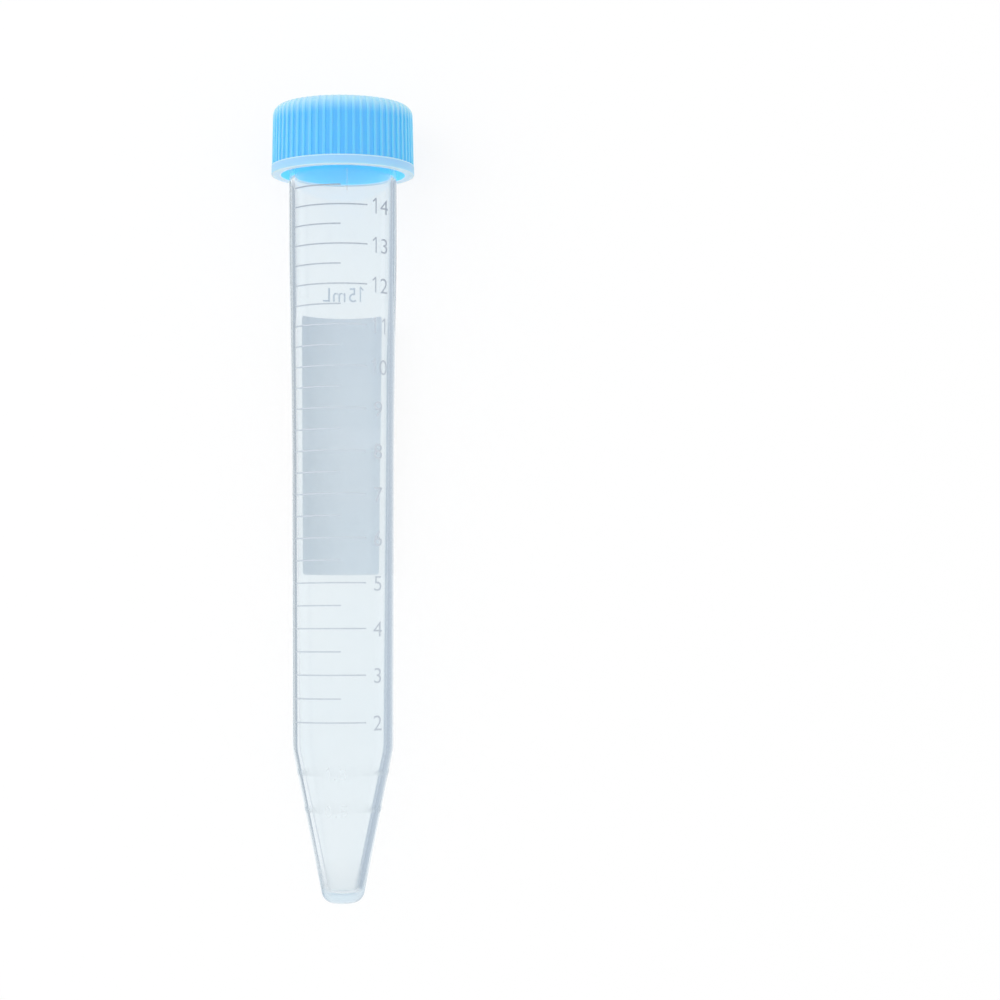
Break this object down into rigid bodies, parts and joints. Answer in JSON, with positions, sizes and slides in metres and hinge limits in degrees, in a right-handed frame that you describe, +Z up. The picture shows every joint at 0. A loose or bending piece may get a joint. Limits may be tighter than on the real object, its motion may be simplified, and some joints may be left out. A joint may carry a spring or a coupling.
{
  "type": "conical centrifuge tube with screw cap",
  "caption": "Slim translucent conical tube with volume marks and a blunt tip, closed by a ribbed blue screw cap, lying on its side.",
  "frame": {"origin": "on the surface the tube lies on, under the middle of its length and width", "axes": "+Y towards the cap, +Z up; the tube's axis leans about 2 degrees up towards the cap, because the cap's rim is wider than the cone's shoulder"},
  "size_m": [0.0218, 0.122, 0.022],
  "materials": {
    "tube_plastic": "translucent frosted polypropylene with a satin surface",
    "cap_plastic": "satin light blue polyethylene, slightly translucent"
  },
  "bodies": {
    "tube_body": {"tube": "tube_plastic"},
    "cap_body": {"cap": "cap_plastic"}
  },
  "joints": [
    {"name": "cap_lift", "type": "slide", "parent": "tube_body", "child": "cap_body", "axis": [0, 0.9993, 0.0374], "range_m": [0, 0.03]}
  ]
}
